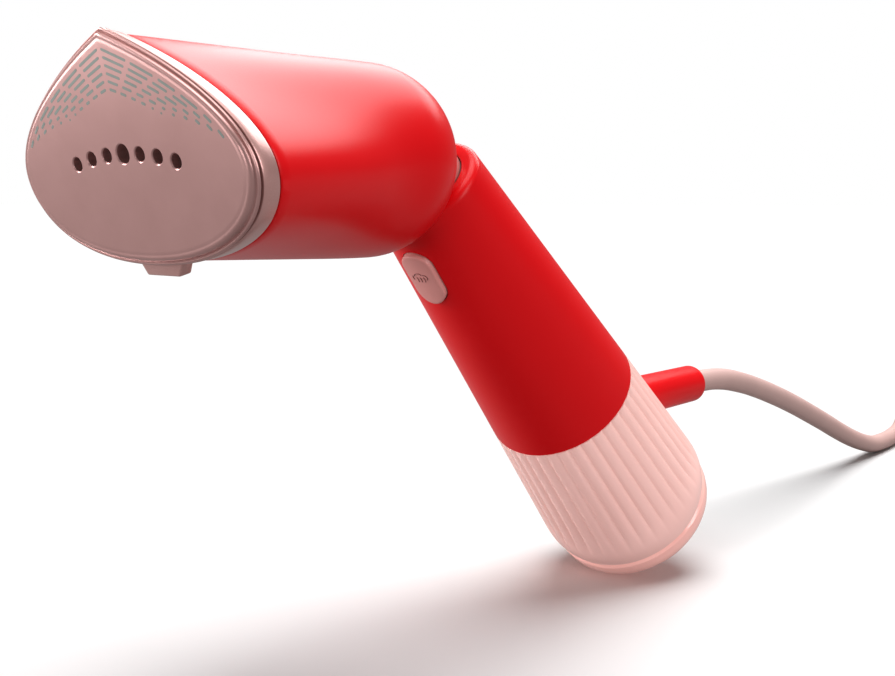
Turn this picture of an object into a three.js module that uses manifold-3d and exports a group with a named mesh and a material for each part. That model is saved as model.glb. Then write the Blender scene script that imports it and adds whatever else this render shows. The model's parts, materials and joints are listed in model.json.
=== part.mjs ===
// Folding hand-held garment steamer: a horizontal head with a guitar-pick steam plate on a round
// rear dome, and a conical handle with a clear water tank in its lower end. Millimetres, +Z up.
// The origin is the middle of the grip, on the handle's axis. The steam plate looks along -Y, and
// x = 0 is the plane of symmetry. Handle pieces are modelled upright, with z along the handle, and
// the whole group leans back. Head pieces share the dome's centre, which is also the fold axis.
import * as THREE from 'three';
import { mergeVertices } from 'three/addons/utils/BufferGeometryUtils.js';
import Module from 'manifold-3d';

// Clearances
const gap = 0.3;              // between pieces that touch
const runningGap = 0.6;       // between pieces that move past each other

// Handle and tank, heights along the handle's axis from the middle of the grip
const handleLean = THREE.MathUtils.degToRad(45.3);
const handleTop = 51;
const handleFoot = -50;
const handleTopRadius = 17.34;
const tankFootRadius = 31.56;
const tankFoot = -114;
const shellWall = 2.2;
const topFillet = 5;
const roofThickness = 3;
const tongueHalfWidth = 10;
const tongueLength = 53;
const tongueThickness = 7;
const tankWall = 2;
const shoulderHeight = 9;     // the tank's wall draws in over this height to meet its cap
const shoulderTuck = 2;
const capProud = 0.4;
const capHeight = 16.5;
const capFlat = 9;
const spigotHeight = 8;

// Head
const domeRadius = 26.4;
const domeOffset = 14.4;      // the dome's centre stands this far in front of the handle's axis
const domeSink = 4.5;         // how far the dome dips below the handle's rim
const domeHeight = handleTop + domeRadius - domeSink;
const headWall = 2;
const plateDistance = 75.5;   // from the dome's centre to the middle of the plate
const plateTilt = THREE.MathUtils.degToRad(13.4);
const plateHalfWidth = 42.3;
const plateTip = 27.6;
const plateFoot = 26.3;
const plateWidest = -5;
const plateProud = 1.6;
const bezelDepth = 6;
const holeRadius = 1.7;
const middleHoleRadius = 2.25;
const holePitch = 6.1;
const holeRowHeight = -0.1;
const holeArcDrop = 0.225;

// Fold
const drumRadius = domeRadius - headWall - 1;
const drumHalfWidth = 7;
const collarRadius = 12.4;
const collarProud = 10;        // how far the collar stands out of the handle's rim
const pinRadius = 3;
const bushRadius = 5;
const foldAngle = 45.3;

// Button
const buttonWidth = 10.4;
const buttonLength = 19;
const buttonProud = 1.5;
const buttonTravel = 1.5;
const buttonLip = 1.5;        // the flange that keeps the button in, all round
const buttonTop = handleTop - roofThickness - 6.5;
const buttonHeight = buttonTop - buttonLip - buttonLength / 2;

// Cord, in the upright frame of the world
const guardRadius = 7.25;
const guardHeight = -42.9;
const guardEnd = 129.5;
const cordRadius = 4.5;
const coilRadius = 46;
const pinGauge = 2;

const kernel = await Module();
kernel.setup();

// ---- Solids ------------------------------------------------------------------------------------

function solid(geometry) {
  const bare = geometry.clone();
  bare.deleteAttribute('normal');
  bare.deleteAttribute('uv');
  const merged = mergeVertices(bare, 1e-4);
  const flat = merged.index.array;
  const kept = [];
  for (let i = 0; i < flat.length; i += 3) {
    const [a, b, c] = [flat[i], flat[i + 1], flat[i + 2]];
    if (a !== b && b !== c && c !== a) kept.push(a, b, c);
  }
  return new kernel.Manifold(new kernel.Mesh({
    numProp: 3,
    vertProperties: new Float32Array(merged.attributes.position.array),
    triVerts: new Uint32Array(kept),
  }));
}

function geometryOf(body) {
  const mesh = body.getMesh();
  const geometry = new THREE.BufferGeometry();
  geometry.setAttribute('position', new THREE.BufferAttribute(mesh.vertProperties, 3));
  geometry.setIndex(new THREE.BufferAttribute(mesh.triVerts, 1));
  return geometry;
}

const join = (...bodies) => bodies.reduce((sum, body) => sum.add(body));
const cut = (body, ...tools) => tools.reduce((rest, tool) => rest.subtract(tool), body);

// A profile of [radius, height] points turned about z
function turned(profile, segments = 32) {
  const points = profile.map(([r, z]) => new THREE.Vector2(r, z));
  return solid(new THREE.LatheGeometry(points, segments).rotateX(Math.PI / 2));
}

function rod(radius, low, high, segments = 16) {
  return turned([[0, low], [radius, low], [radius, high], [0, high]], segments);
}

// A box between two corners
function block(low, high) {
  const size = high.map((value, i) => value - low[i]);
  const middle = high.map((value, i) => (value + low[i]) / 2);
  return solid(new THREE.BoxGeometry(...size).translate(...middle));
}

// A body moved after turning: the turn is about x, y and z in that order, in degrees
function placed(body, position, turn = [0, 0, 0]) {
  return body.rotate(turn).translate(position);
}

const alongX = (body, position) => placed(body, position, [0, 90, 0]);
const alongY = (body, position) => placed(body, position, [-90, 0, 0]);

// A flat outline in x and y, raised along z
function raised(shape, low, high, curveSegments = 12) {
  const geometry = new THREE.ExtrudeGeometry(shape, {
    depth: high - low, bevelEnabled: false, curveSegments,
  });
  return solid(geometry.translate(0, 0, low));
}

function circleShape(radius, sides) {
  const shape = new THREE.Shape();
  for (let i = 0; i < sides; i += 1) {
    const angle = (2 * Math.PI * i) / sides;
    const point = [radius * Math.cos(angle), radius * Math.sin(angle)];
    if (i === 0) shape.moveTo(...point);
    else shape.lineTo(...point);
  }
  return shape;
}

function tube(points, radius, steps, sides = 6) {
  const path = new THREE.CatmullRomCurve3(points.map((p) => new THREE.Vector3(...p)));
  return solid(new THREE.ExtrudeGeometry(circleShape(radius, sides), {
    steps, extrudePath: path, bevelEnabled: false,
  }));
}

// A helical spring along z
function spring(radius, wire, turns, low, high) {
  const points = [];
  const perTurn = 6;
  for (let i = 0; i <= turns * perTurn; i += 1) {
    const angle = (2 * Math.PI * i) / perTurn;
    const height = low + wire + ((high - low - 2 * wire) * i) / (turns * perTurn);
    points.push([(radius - wire) * Math.cos(angle), (radius - wire) * Math.sin(angle), height]);
  }
  return tube(points, wire, turns * perTurn, 4);
}

function pillShape(width, length) {
  const radius = width / 2;
  const straight = length / 2 - radius;
  const shape = new THREE.Shape();
  shape.moveTo(radius, -straight);
  shape.lineTo(radius, straight);
  shape.absarc(0, straight, radius, 0, Math.PI, false);
  shape.lineTo(-radius, -straight);
  shape.absarc(0, -straight, radius, Math.PI, 2 * Math.PI, false);
  return shape;
}

// A pan-head screw along z, head up, with its underside at z = 0
function screw(shank, head, length) {
  return turned([[0, -length], [shank, -length], [shank, 0], [head, 0], [head, head * 0.5],
    [head * 0.6, head * 0.8], [0, head * 0.8]], 10);
}

const palette = {
  red: { color: '#c8141a', roughness: 0.35, metalness: 0 },
  rose: { color: '#c08c88', roughness: 0.38, metalness: 0.35 },
  plate: { color: '#b98f8c', roughness: 0.3, metalness: 0.6 },
  clearRose: { color: '#e3b3ad', roughness: 0.12, metalness: 0 },
  steel: { color: '#b9bcc0', roughness: 0.3, metalness: 0.9 },
  cast: { color: '#9b9ea1', roughness: 0.55, metalness: 0.8 },
  brass: { color: '#b08d4a', roughness: 0.35, metalness: 0.9 },
  darkRubber: { color: '#2b2b2c', roughness: 0.8, metalness: 0 },
  silicone: { color: '#d9d6cf', roughness: 0.6, metalness: 0 },
  nylon: { color: '#d8d5cc', roughness: 0.55, metalness: 0 },
  board: { color: '#2f6b3c', roughness: 0.5, metalness: 0 },
  cable: { color: '#c8aaa8', roughness: 0.6, metalness: 0 },
};
const finishes = Object.fromEntries(Object.entries(palette).map(
  ([name, look]) => [name, new THREE.MeshStandardMaterial(look)],
));

function add(group, name, body, finish) {
  const mesh = new THREE.Mesh(geometryOf(body), finishes[finish]);
  mesh.name = name;
  group.add(mesh);
}

const steamer = new THREE.Group();
const handle = new THREE.Group();
handle.rotation.x = handleLean;
const head = new THREE.Group();
const domeCentre = new THREE.Vector3(0, -domeOffset, domeHeight).applyAxisAngle(
  new THREE.Vector3(1, 0, 0), handleLean,
);
head.position.copy(domeCentre);
const plate = new THREE.Group();
plate.position.y = -plateDistance;
plate.rotation.x = Math.PI / 2 + plateTilt;
head.add(plate);
steamer.add(handle, head);

// ---- The handle's cone -------------------------------------------------------------------------

const taper = (tankFootRadius - handleTopRadius) / (handleTop - tankFoot);
const coneRadius = (height) => handleTopRadius + taper * (handleTop - height);

// The cone between two heights, made smaller by an inset
function cone(low, high, inset = 0, segments = 32) {
  return turned([[0, low], [coneRadius(low) - inset, low], [coneRadius(high) - inset, high],
    [0, high]], segments);
}

// A ball about the fold axis, in the handle's frame
function ballInHandle(radius) {
  return solid(new THREE.SphereGeometry(radius, 24, 12).translate(0, -domeOffset, domeHeight));
}

// ---- Handle shell, with the tongue that runs down behind the tank -------------------------------

const tongueFoot = handleFoot - tongueLength;

// The strip of the cone that the tongue fills, wider and deeper by a clearance
function tongueStrip(low, high, clearance) {
  const half = tongueHalfWidth + clearance;
  const shape = new THREE.Shape();
  shape.moveTo(-half, high);
  shape.lineTo(-half, low + half);
  shape.absarc(0, low + half, half, Math.PI, 2 * Math.PI, false);
  shape.lineTo(half, high);
  const strip = placed(raised(shape, -2 * tankFootRadius, 0, 16), [0, 0, 0], [90, 0, 0]);
  return cut(strip, cone(low - 10, high + 10, tongueThickness + clearance));
}

const roof = handleTop - roofThickness;
function makeHandleShell() {
  const shoulder = handleTop - topFillet;
  const rim = [];
  const fillets = 4;
  for (let i = 0; i <= fillets; i += 1) {
    const angle = (Math.PI / 2) * (i / fillets);
    rim.push([coneRadius(shoulder) - topFillet * (1 - Math.cos(angle)),
      shoulder + topFillet * Math.sin(angle)]);
  }
  const outside = turned([[0, handleFoot], [coneRadius(handleFoot), handleFoot], ...rim,
    [0, handleTop]]);
  const inside = cone(handleFoot - 5, roof, shellWall);
  const mouth = rod(collarRadius + gap, roof - 1, handleTop + 1, 32);
  const tongue = tongueStrip(tongueFoot, handleFoot + 6, 0).intersect(
    cone(tongueFoot - 1, handleFoot + 6),
  );
  const leadGroove = cut(
    block([-3.2, 0, tongueFoot + 11], [3.2, 60, handleFoot + 8]),
    block([-5, 40, tongueFoot], [5, 70, handleFoot + 10]),
  );
  const groove = leadGroove.intersect(cone(tongueFoot, handleFoot + 9, tongueThickness - 3.2));
  const buttonHole = placed(
    raised(pillShape(buttonWidth + runningGap, buttonLength + runningGap), 0, 30, 8),
    [0, 0, buttonHeight], [90, 0, 0],
  );
  return cut(join(cut(outside, inside), tongue), mouth, groove, buttonHole,
    ballInHandle(domeRadius + runningGap));
}
add(handle, 'handle_shell', makeHandleShell(), 'red');

// ---- Hinge knuckle: collar in the handle's mouth, neck and drum ---------------------------------

const flangeFace = -13.2;
const flangeBack = -11.6;     // the two sides of the button's flange

function makeKnuckle() {
  const flange = rod(coneRadius(roof) - shellWall - gap, 38, roof - gap, 32);
  const buttonRoom = block([-12, -20, 30], [12, flangeBack + buttonTravel + 0.9, buttonTop + 1.2]);
  const collarTop = handleTop + collarProud;
  const collar = turned([[0, 36], [collarRadius, 36], [collarRadius, collarTop - 1.5],
    [collarRadius - 1.5, collarTop], [0, collarTop]], 32);
  const base = cut(join(flange, collar), ballInHandle(domeRadius + runningGap), buttonRoom);
  const neck = block([-drumHalfWidth, -domeOffset + 3, handleTop - 3.6], [drumHalfWidth, 0.8, 62]);
  const drum = ballInHandle(drumRadius).intersect(
    block([-drumHalfWidth, -100, 0], [drumHalfWidth, 100, 200]),
  );
  const bore = alongX(rod(pinRadius + 0.4, -30, 30), [0, -domeOffset, domeHeight]);
  const hoseBore = rod(3.3, 30, 42).translate([0, 6, 0]);
  const relief = alongX(cut(rod(18, -30, 30, 24), rod(9, -31, 31, 20)),
    [0, -domeOffset, domeHeight]);
  const pockets = cut(relief, block([-3, -60, 0], [3, 60, 200]),
    block([-30, -domeOffset - 30, domeHeight - 60], [30, -domeOffset + 30, domeHeight - 4]));
  return cut(join(base, neck, drum), bore, hoseBore, pockets);
}
add(handle, 'hinge_knuckle', makeKnuckle(), 'rose');

// ---- Trigger button, its spring and switch ------------------------------------------------------

function makeButton() {
  const cap = placed(raised(pillShape(buttonWidth, buttonLength), -flangeBack, 26, 8),
    [0, 0, buttonHeight], [90, 0, 0]);
  const crown = cap.intersect(cone(0, 60, -buttonProud));
  const flange = placed(raised(pillShape(buttonWidth + 2 * buttonLip, buttonLength + 2 * buttonLip),
    -flangeBack, -flangeFace, 8),
    [0, 0, buttonHeight], [90, 0, 0]);
  return join(crown, flange);
}
add(handle, 'trigger_button', makeButton(), 'rose');

const springHeight = buttonHeight - 8.5;
const boardBack = 0.4;
add(handle, 'button_spring',
  placed(spring(2.8, 0.4, 5, 0, 10.1), [0, flangeBack + gap, springHeight], [-90, 0, 0]), 'steel');

function makeBoard() {
  const board = block([-11, boardBack - 1.6, -16], [11, boardBack, 35]);
  const springHole = alongY(rod(3.8, -5, 5), [0, 0, springHeight]);
  return cut(board, springHole);
}
add(handle, 'control_board', makeBoard(), 'board');

const boardFace = boardBack - 1.6 - gap;
const plungerTip = flangeBack + buttonTravel + gap;
add(handle, 'micro_switch', join(
  block([-3.2, -8, buttonHeight - 4], [3.2, boardFace, buttonHeight + 5]),
  alongY(rod(1.3, 0, 4), [0, plungerTip, buttonHeight]),
), 'darkRubber');
add(handle, 'relay', block([-8, -9, -12], [6, boardFace, 4]), 'darkRubber');
add(handle, 'capacitor', alongY(rod(4, 0, 8.5), [0, boardFace - 8.6, 11]), 'steel');

// ---- Inner frame, pump and pipes ----------------------------------------------------------------

const frameFace = 1;
function makeFrame() {
  const shape = new THREE.Shape();
  shape.moveTo(-17, -22);
  shape.lineTo(17, -22);
  shape.lineTo(12.5, 35.5);
  shape.lineTo(-12.5, 35.5);
  const panel = placed(raised(shape, -frameFace - 2, -frameFace), [0, 0, 0], [90, 0, 0]);
  const windows = [-5, 13].map((height) => block([-4, -5, height - 3], [4, 8, height + 3]));
  return cut(panel, ...windows);
}
add(handle, 'inner_frame', makeFrame(), 'nylon');

const pumpAxis = 10.6;
const frameBack = frameFace + 2;
add(handle, 'pump_body', join(
  rod(6.8, -20, 0, 20).translate([0, pumpAxis, 0]),
  rod(2.6, -23, -20).translate([0, pumpAxis, 0]),
), 'nylon');
add(handle, 'pump_coil', join(
  block([-6.5, frameBack + gap, gap], [6.5, pumpAxis + 5.5, 13]),
  rod(2.4, 13, 17).translate([0, pumpAxis, 0]),
), 'darkRubber');
add(handle, 'pump_cradle', cut(
  block([-9.5, frameBack + gap, -16], [9.5, pumpAxis, -8]),
  rod(6.8 + gap, -30, 10, 20).translate([0, pumpAxis, 0]),
), 'silicone');

// Socket that the tank's valve plugs into
const socketLow = -37;
const socketHigh = -34;
function makeSocket() {
  const disc = rod(coneRadius(socketHigh) - shellWall - runningGap, socketLow, socketHigh, 32);
  const boss = rod(7, socketLow - 8, socketLow + 1, 20);
  const well = rod(4.2, socketLow - 9, socketLow - 1);
  const outlet = rod(1.4, socketLow - 2, socketHigh + 6);
  const nipple = rod(2.4, socketHigh - 0.5, socketHigh + 3.5);
  const leadNotch = block([-5, 14.5, socketLow - 2], [5, 40, socketHigh + 2]);
  return cut(join(disc, boss, nipple), well, outlet, leadNotch);
}
add(handle, 'tank_socket', makeSocket(), 'nylon');
add(handle, 'socket_seal', turned([[4.4, -46.6], [6.6, -46.6], [6.6, -45.3], [4.4, -45.3],
  [4.4, -46.6]], 20), 'silicone');
add(handle, 'inlet_tube', tube([[0, 0, -30.1], [0, 0, -29.2], [0, 1.8, -27.6], [0, 7, -25.5], [0, pumpAxis - 0.2, -24.3],
  [0, pumpAxis, -23.3]], 2, 10), 'silicone');
add(handle, 'outlet_hose', tube([[0, pumpAxis, 17.3], [0, pumpAxis, 20], [0, 9.6, 25], [0, 7, 32],
  [0, 6, 36], [0, 6, 41.6]], 2.4, 14), 'silicone');
add(handle, 'terminal_block', block([6, 4, -29], [16, 12, -21]), 'nylon');

// Mains leads up the tongue to the terminal block
const leadEnds = {
  lead_live: [[1.8, 16.4, -33], [7, 13.6, -31.6], [12, 9.4, -31], [12, 8, -30.2], [12, 8, -29.3]],
  lead_neutral: [[-1.8, 16.6, -33], [2, 16.9, -29], [7, 15.6, -26], [9, 13.6, -25], [9, 12.3, -25]],
};
for (const [name, ending] of Object.entries(leadEnds)) {
  const side = Math.sign(ending[0][0]);
  const inTongue = [-90, -80, -66, -56].map((height) => (
    [side * 1.5, coneRadius(height) - tongueThickness + 1.7, height]
  ));
  const climb = [[side * 1.5, 18.2, -43], [side * 1.6, 17, -37.5]];
  add(handle, name, tube([...inTongue, ...climb, ...ending], 1.1, 18, 5), 'darkRubber');
}

// ---- Water tank ---------------------------------------------------------------------------------

const tankTop = handleFoot - gap - 0.2;
const channel = tongueStrip(tongueFoot - runningGap, handleFoot + 10, runningGap);
const channelWall = tongueStrip(tongueFoot - runningGap - tankWall, handleFoot + 10,
  runningGap + tankWall);
const valveRadius = 3.6;
const fillerRadius = 5;
const fillerPlace = [0, -14, 0];
const spigotRadius = 20.4;

// The tank's cone between two heights, drawn in at its rounded shoulder
function shoulderedCone(low, high, inset) {
  const wall = [];
  for (let row = 0; row <= 5; row += 1) {
    const height = low + (shoulderHeight / 5) * row;
    const share = 1 - row / 5;
    wall.push([coneRadius(height) - inset - shoulderTuck * share ** 2, height]);
  }
  return turned([[0, low], ...wall, [coneRadius(high) - inset, high], [0, high]]);
}

function makeTankBody() {
  const outside = cut(shoulderedCone(tankFoot, tankTop, 0), channel);
  const inside = cut(join(
    shoulderedCone(tankFoot, tankTop - tankWall, tankWall),
    rod(coneRadius(tankFoot) - tankWall - shoulderTuck, tankFoot - 2, tankFoot + 1, 32),
  ), channelWall);
  const spigot = cut(rod(spigotRadius, tankTop - 1, tankTop + spigotHeight, 32),
    rod(spigotRadius - tankWall, tankTop - 2, tankTop + spigotHeight + 1, 32),
    block([-14, 8, tankTop - 2], [14, 40, tankTop + 20]));
  const neck = rod(valveRadius + 1.6, tankTop - 1, tankTop + 2.4, 20);
  const outlet = rod(valveRadius - 1, tankTop - 10, tankTop + 10, 20);
  const filler = rod(fillerRadius + gap, tankTop - 10, tankTop + 10, 20).translate(fillerPlace);
  return cut(join(cut(outside, inside), spigot, neck), outlet, filler);
}
add(handle, 'tank_body', makeTankBody(), 'clearRose');

const capTop = tankFoot - gap;
const capRadius = tankFootRadius - shoulderTuck + capProud;
function makeEndCap() {
  const rows = 6;
  const dome = [];
  for (let i = 0; i <= rows; i += 1) {
    const angle = (Math.PI / 2) * (i / rows);
    const reach = Math.cos(angle) ** 0.8;
    dome.push([Math.max(capRadius * reach, capFlat), capTop - 2 - (capHeight - 2) * Math.sin(angle) ** 0.9]);
  }
  const skin = [[0, dome[rows][1]], ...dome.reverse(), [capRadius, capTop], [0, capTop]];
  const hollow = turned([[0, capTop - capHeight + 5], [12, capTop - capHeight + 5],
    [capRadius - 6, capTop - 7], [capRadius - 3.2, capTop - 3], [capRadius - 3.2, capTop + 1],
    [0, capTop + 1]], 24);
  return cut(turned(skin), hollow);
}
add(handle, 'tank_end_cap', makeEndCap(), 'clearRose');
add(handle, 'fill_plug', join(
  rod(fillerRadius, tankTop - 4, tankTop + gap, 20).translate(fillerPlace),
  rod(fillerRadius - 1.2, tankTop, tankTop + 1.6, 20).translate(fillerPlace),
), 'darkRubber');
add(handle, 'tank_valve', cut(
  rod(valveRadius - 1.4, tankTop - 6, tankTop + 4.8, 24),
  rod(1, tankTop - 7, tankTop + 6, 16),
), 'nylon');
add(handle, 'pickup_tube', tube([[0, 0, tankTop - 6.4], [0, -1, tankTop - 20], [0, -6, tankTop - 38],
  [0, -12, tankTop - 54]], 1.7, 12), 'silicone');
add(handle, 'pickup_filter', placed(rod(3, 0, 5), [0, -14.1, tankTop - 60], [-16, 0, 0]), 'steel');

// ---- Cord guard ---------------------------------------------------------------------------------

const leanDegrees = THREE.MathUtils.radToDeg(handleLean);
function makeGuard() {
  const round = 2.6;
  const start = 60;
  const profile = [[0, start], [guardRadius + 0.3, start], [guardRadius, guardEnd - 25]];
  for (let i = 0; i <= 4; i += 1) {
    const angle = (Math.PI / 2) * (i / 4);
    profile.push([guardRadius - round * (1 - Math.cos(angle)),
      guardEnd - round + round * Math.sin(angle)]);
  }
  profile.push([cordRadius + gap, guardEnd], [cordRadius + gap, guardEnd - 8], [0, guardEnd - 8]);
  const body = alongY(turned(profile, 20), [0, 0, guardHeight]);
  return cut(body, placed(cone(-140, 10, -gap), [0, 0, 0], [leanDegrees, 0, 0]));
}
add(steamer, 'cord_guard', makeGuard(), 'red');

// ---- Head ---------------------------------------------------------------------------------------

const outlineSides = 32;
const outline = (() => {
  const shape = new THREE.Shape();
  shape.moveTo(0, plateTip);
  shape.bezierCurveTo(-16, 0.78 * plateTip, -plateHalfWidth, 8, -plateHalfWidth, plateWidest);
  shape.bezierCurveTo(-plateHalfWidth, -16.5, -0.64 * plateHalfWidth, -plateFoot, 0, -plateFoot);
  shape.bezierCurveTo(0.64 * plateHalfWidth, -plateFoot, plateHalfWidth, -16.5,
    plateHalfWidth, plateWidest);
  shape.bezierCurveTo(plateHalfWidth, 8, 16, 0.78 * plateTip, 0, plateTip);
  return shape.getSpacedPoints(outlineSides).slice(0, outlineSides);
})();

// The plate's outline drawn in by an inset, as a loop at one height in the plate's frame. Loops
// behind the plate sink in it, because the head runs level and the plate leans.
function loop(inset, height) {
  const wide = 1 - inset / plateHalfWidth;
  const tall = 1 - (2 * inset) / (plateTip + plateFoot);
  const drop = height * Math.tan(plateTilt);
  return outline.map((point) => new THREE.Vector3(point.x * wide, point.y * tall + drop, height));
}

// A closed skin over loops of points, given from the front loop to the back one
function lofted(loops) {
  const rows = loops.length - 1;
  const geometry = new THREE.CylinderGeometry(1, 1, 1, outlineSides, rows);
  const place = geometry.attributes.position;
  const middles = loops.map((row) => row.reduce((sum, point) => sum.add(point),
    new THREE.Vector3()).divideScalar(row.length));
  for (let i = 0; i < place.count; i += 1) {
    const row = Math.round((0.5 - place.getY(i)) * rows);
    const turn = Math.atan2(place.getX(i), place.getZ(i)) / (2 * Math.PI);
    const index = (Math.round(turn * outlineSides) + outlineSides) % outlineSides;
    const onAxis = Math.hypot(place.getX(i), place.getZ(i)) < 0.5;
    const point = onAxis ? middles[row] : loops[row][index];
    place.setXYZ(i, point.x, point.y, point.z);
  }
  return solid(geometry);
}

// A solid with the plate's outline, from a profile of [inset, height] rows, front first
const platform = (profile) => lofted(profile.map(([inset, height]) => loop(inset, height)));

const plateMatrix = new THREE.Matrix4().makeRotationX(plate.rotation.x)
  .setPosition(0, -plateDistance, 0);

// The head's skin: from the plate's outline at the front to a ball about the fold axis. A mouth
// height carries the front straight on, to open a shell.
function headSkin(inset, radius, mouth = 0) {
  const atPlate = (height) => loop(inset, height).map((point) => point.applyMatrix4(plateMatrix));
  const front = atPlate(-bezelDepth - gap);
  const ring = outline.map((point) => {
    const angle = Math.atan2(point.y, point.x);
    return new THREE.Vector3(radius * Math.cos(angle), 0, radius * Math.sin(angle));
  });
  const loops = mouth ? [atPlate(mouth)] : [];
  const bodyRows = 3;
  for (let i = 0; i < bodyRows; i += 1) {
    loops.push(front.map((point, side) => point.clone().lerp(ring[side], i / bodyRows)));
  }
  const domeRows = 6;
  for (let i = 0; i <= domeRows; i += 1) {
    const angle = (Math.PI / 2) * (i / domeRows);
    loops.push(ring.map((point) => new THREE.Vector3(point.x * Math.cos(angle),
      radius * Math.sin(angle), point.z * Math.cos(angle))));
  }
  return lofted(loops);
}

function sector(inner, outer, halfAngle, halfWidth) {
  const reach = THREE.MathUtils.degToRad(halfAngle);
  const shape = new THREE.Shape();
  shape.absarc(0, 0, outer, -reach, reach, false);
  shape.absarc(0, 0, inner, reach, -reach, true);
  return placed(raised(shape, -halfWidth, halfWidth, 16), [0, 0, 0], [90, 0, 90]);
}

const slotReach = foldAngle / 2 + 19;
const skinInset = 0.8;
add(head, 'head_shell', cut(
  headSkin(skinInset, domeRadius),
  headSkin(skinInset + headWall, domeRadius - headWall, 3),
  sector(domeRadius - 8, domeRadius + 5, slotReach, drumHalfWidth + runningGap),
), 'red');

// Steam plate, in its own frame: y up the plate and z out of it
const holes = [];
for (let i = -3; i <= 3; i += 1) {
  const radius = i === 0 ? middleHoleRadius : holeRadius;
  const height = holeRowHeight - holeArcDrop * i * i;
  holes.push(rod(radius, -10, 10, 12).translate([holePitch * i, height, 0]));
}
const plateBack = -3;
const plateSeat = 3.9;
add(plate, 'steam_plate', cut(platform([
  [2.15, plateProud], [1.1, 1.1], [0.3, 0.5], [0, 0.1], [0.3, -gap],
  [plateSeat, -gap], [plateSeat, plateBack],
]), ...holes), 'plate');

const bezelFront = -0.9;
function makeBezel() {
  const ring = cut(platform([[0, bezelFront], [0.6, -bezelDepth]]),
    platform([[plateSeat - 0.5, 1], [plateSeat - 0.5, -bezelDepth - 1]]));
  const tab = new THREE.Shape();
  tab.moveTo(-7.5, -plateFoot + 1.5);
  tab.lineTo(-6, -plateFoot - 3);
  tab.lineTo(6, -plateFoot - 3);
  tab.lineTo(7.5, -plateFoot + 1.5);
  return join(ring, raised(tab, -bezelDepth + 0.3, -2));
}
add(plate, 'bezel_ring', makeBezel(), 'rose');

const gasketBack = plateBack - gap - 1;
add(plate, 'plate_gasket', cut(platform([[9.4, plateBack - gap], [9.4, gasketBack]]),
  platform([[14, 0], [14, -10]])), 'silicone');

// Heater
const heaterFront = gasketBack - gap;
const heaterBack = heaterFront - 11.4;

// The heat shield narrows with the head's skin, and the heater stands clear inside it
const shieldFront = -6.8;
const shieldBack = -27;
const shieldInset = 4.6;
const shieldWall = 1.1;
const shieldRoom = 1;
const narrowing = ((plateHalfWidth - domeRadius) * -shieldBack) / plateDistance;
const shieldBackInset = skinInset + headWall + narrowing + 1.1;
const heaterDepth = (heaterBack - shieldFront) / (shieldBack - shieldFront);
const heaterInset = shieldInset + shieldWall + shieldRoom + (shieldBackInset - shieldInset) * heaterDepth;
const heaterTop = plateTip - heaterInset;

const sideScrew = 0.7 * plateHalfWidth;
const screwPlaces = [[sideScrew, -7], [-sideScrew, -7], [11, heaterTop - 11.2], [-11, heaterTop - 11.2]];
const inletPlace = [-7, -4];
const chamberInset = 17.5;
const screwBores = screwPlaces.map(([x, y]) => rod(1.6, -30, 0, 10).translate([x, y, 0]));
function makeHeater() {
  const body = platform([[heaterInset, heaterFront], [heaterInset, heaterBack]]);
  const boss = rod(4, heaterBack - 4.5, heaterBack + 1).translate([...inletPlace, 0]);
  const chamber = platform([[chamberInset, heaterFront + 1], [chamberInset, heaterFront - 6]]);
  const inlet = rod(1.2, heaterBack - 6, heaterFront).translate([...inletPlace, 0]);
  return cut(join(body, boss), chamber, inlet, ...screwBores);
}
add(plate, 'heater_block', makeHeater(), 'cast');
const diffuserHoles = [-16, -8, 0, 8, 16].map((x) => rod(1.5, -20, 0, 12).translate([x, -2, 0]));
add(plate, 'steam_diffuser', cut(
  platform([[chamberInset + 0.5, heaterFront - 2.2], [chamberInset + 0.5, heaterFront - 3]]),
  ...diffuserHoles, ...screwBores,
), 'steel');
screwPlaces.forEach(([x, y], i) => {
  const body = placed(screw(1.3, 2.4, 11), [x, y, heaterBack - gap], [180, 0, 0]);
  add(plate, `heater_screw_${i + 1}`, body, 'steel');
});
const elementPoints = [[13, 1, -30], [13, 1, -25.5], [17.5, -1, -21], [20, -6, -19.8],
  [13, -13, -19.8]];
add(plate, 'heating_element', tube([
  ...elementPoints, [0, -15, -19.8], ...elementPoints.map(([x, y, z]) => [-x, y, z]).reverse(),
], 3, 20, 6), 'steel');
add(plate, 'thermostat', rod(5.5, heaterBack - 6, heaterBack - gap).translate([5, -5, 0]), 'steel');
add(plate, 'thermal_fuse', alongX(rod(2, -6.5, 6.5, 12), [0, heaterTop - 10.6, heaterBack - 2.4]), 'silicone');

function makeShield() {
  const outside = platform([[shieldInset, shieldFront], [shieldBackInset, shieldBack]]);
  const inside = platform([[shieldInset + shieldWall, shieldFront + 1],
    [shieldBackInset + shieldWall, shieldBack + shieldWall]]);
  const leadHoles = [-13, 13].map((x) => rod(3.7, -40, shieldBack + 5).translate([x, 1, 0]));
  const pipeHole = rod(5.6, -40, shieldBack + 5).translate([...inletPlace, 0]);
  return cut(outside, inside, ...leadHoles, pipeHole);
}
add(plate, 'heat_shield', makeShield(), 'nylon');

// Hinge carrier inside the dome, with its pin, bushes and detent
const carrierBack = -27;
const carrierFront = -30;
const earInner = drumHalfWidth + 1.2;
const earOuter = earInner + 3.5;
function makeCarrier() {
  const wall = block([-12.5, carrierFront, -15], [12.5, carrierBack, 15]);
  const ears = [-1, 1].map((side) => {
    const low = Math.min(side * earInner, side * earOuter);
    const arm = block([low, carrierBack - 1, -8], [low + earOuter - earInner, 0, 8]);
    const eye = alongX(rod(8, low, low + earOuter - earInner), [0, 0, 0]);
    return join(arm, eye);
  });
  const housing = alongY(rod(4.6, -43.5, carrierFront + 1), [0, 0, 0]);
  const well = alongY(rod(3, -42.3, carrierFront + 0.5), [0, 0, 0]);
  const port = alongY(rod(2.3, -35, -20), [0, 0, 0]);
  const bore = alongX(rod(bushRadius + gap, -30, 30), [0, 0, 0]);
  return cut(join(wall, ...ears, housing), well, port, bore);
}
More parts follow.
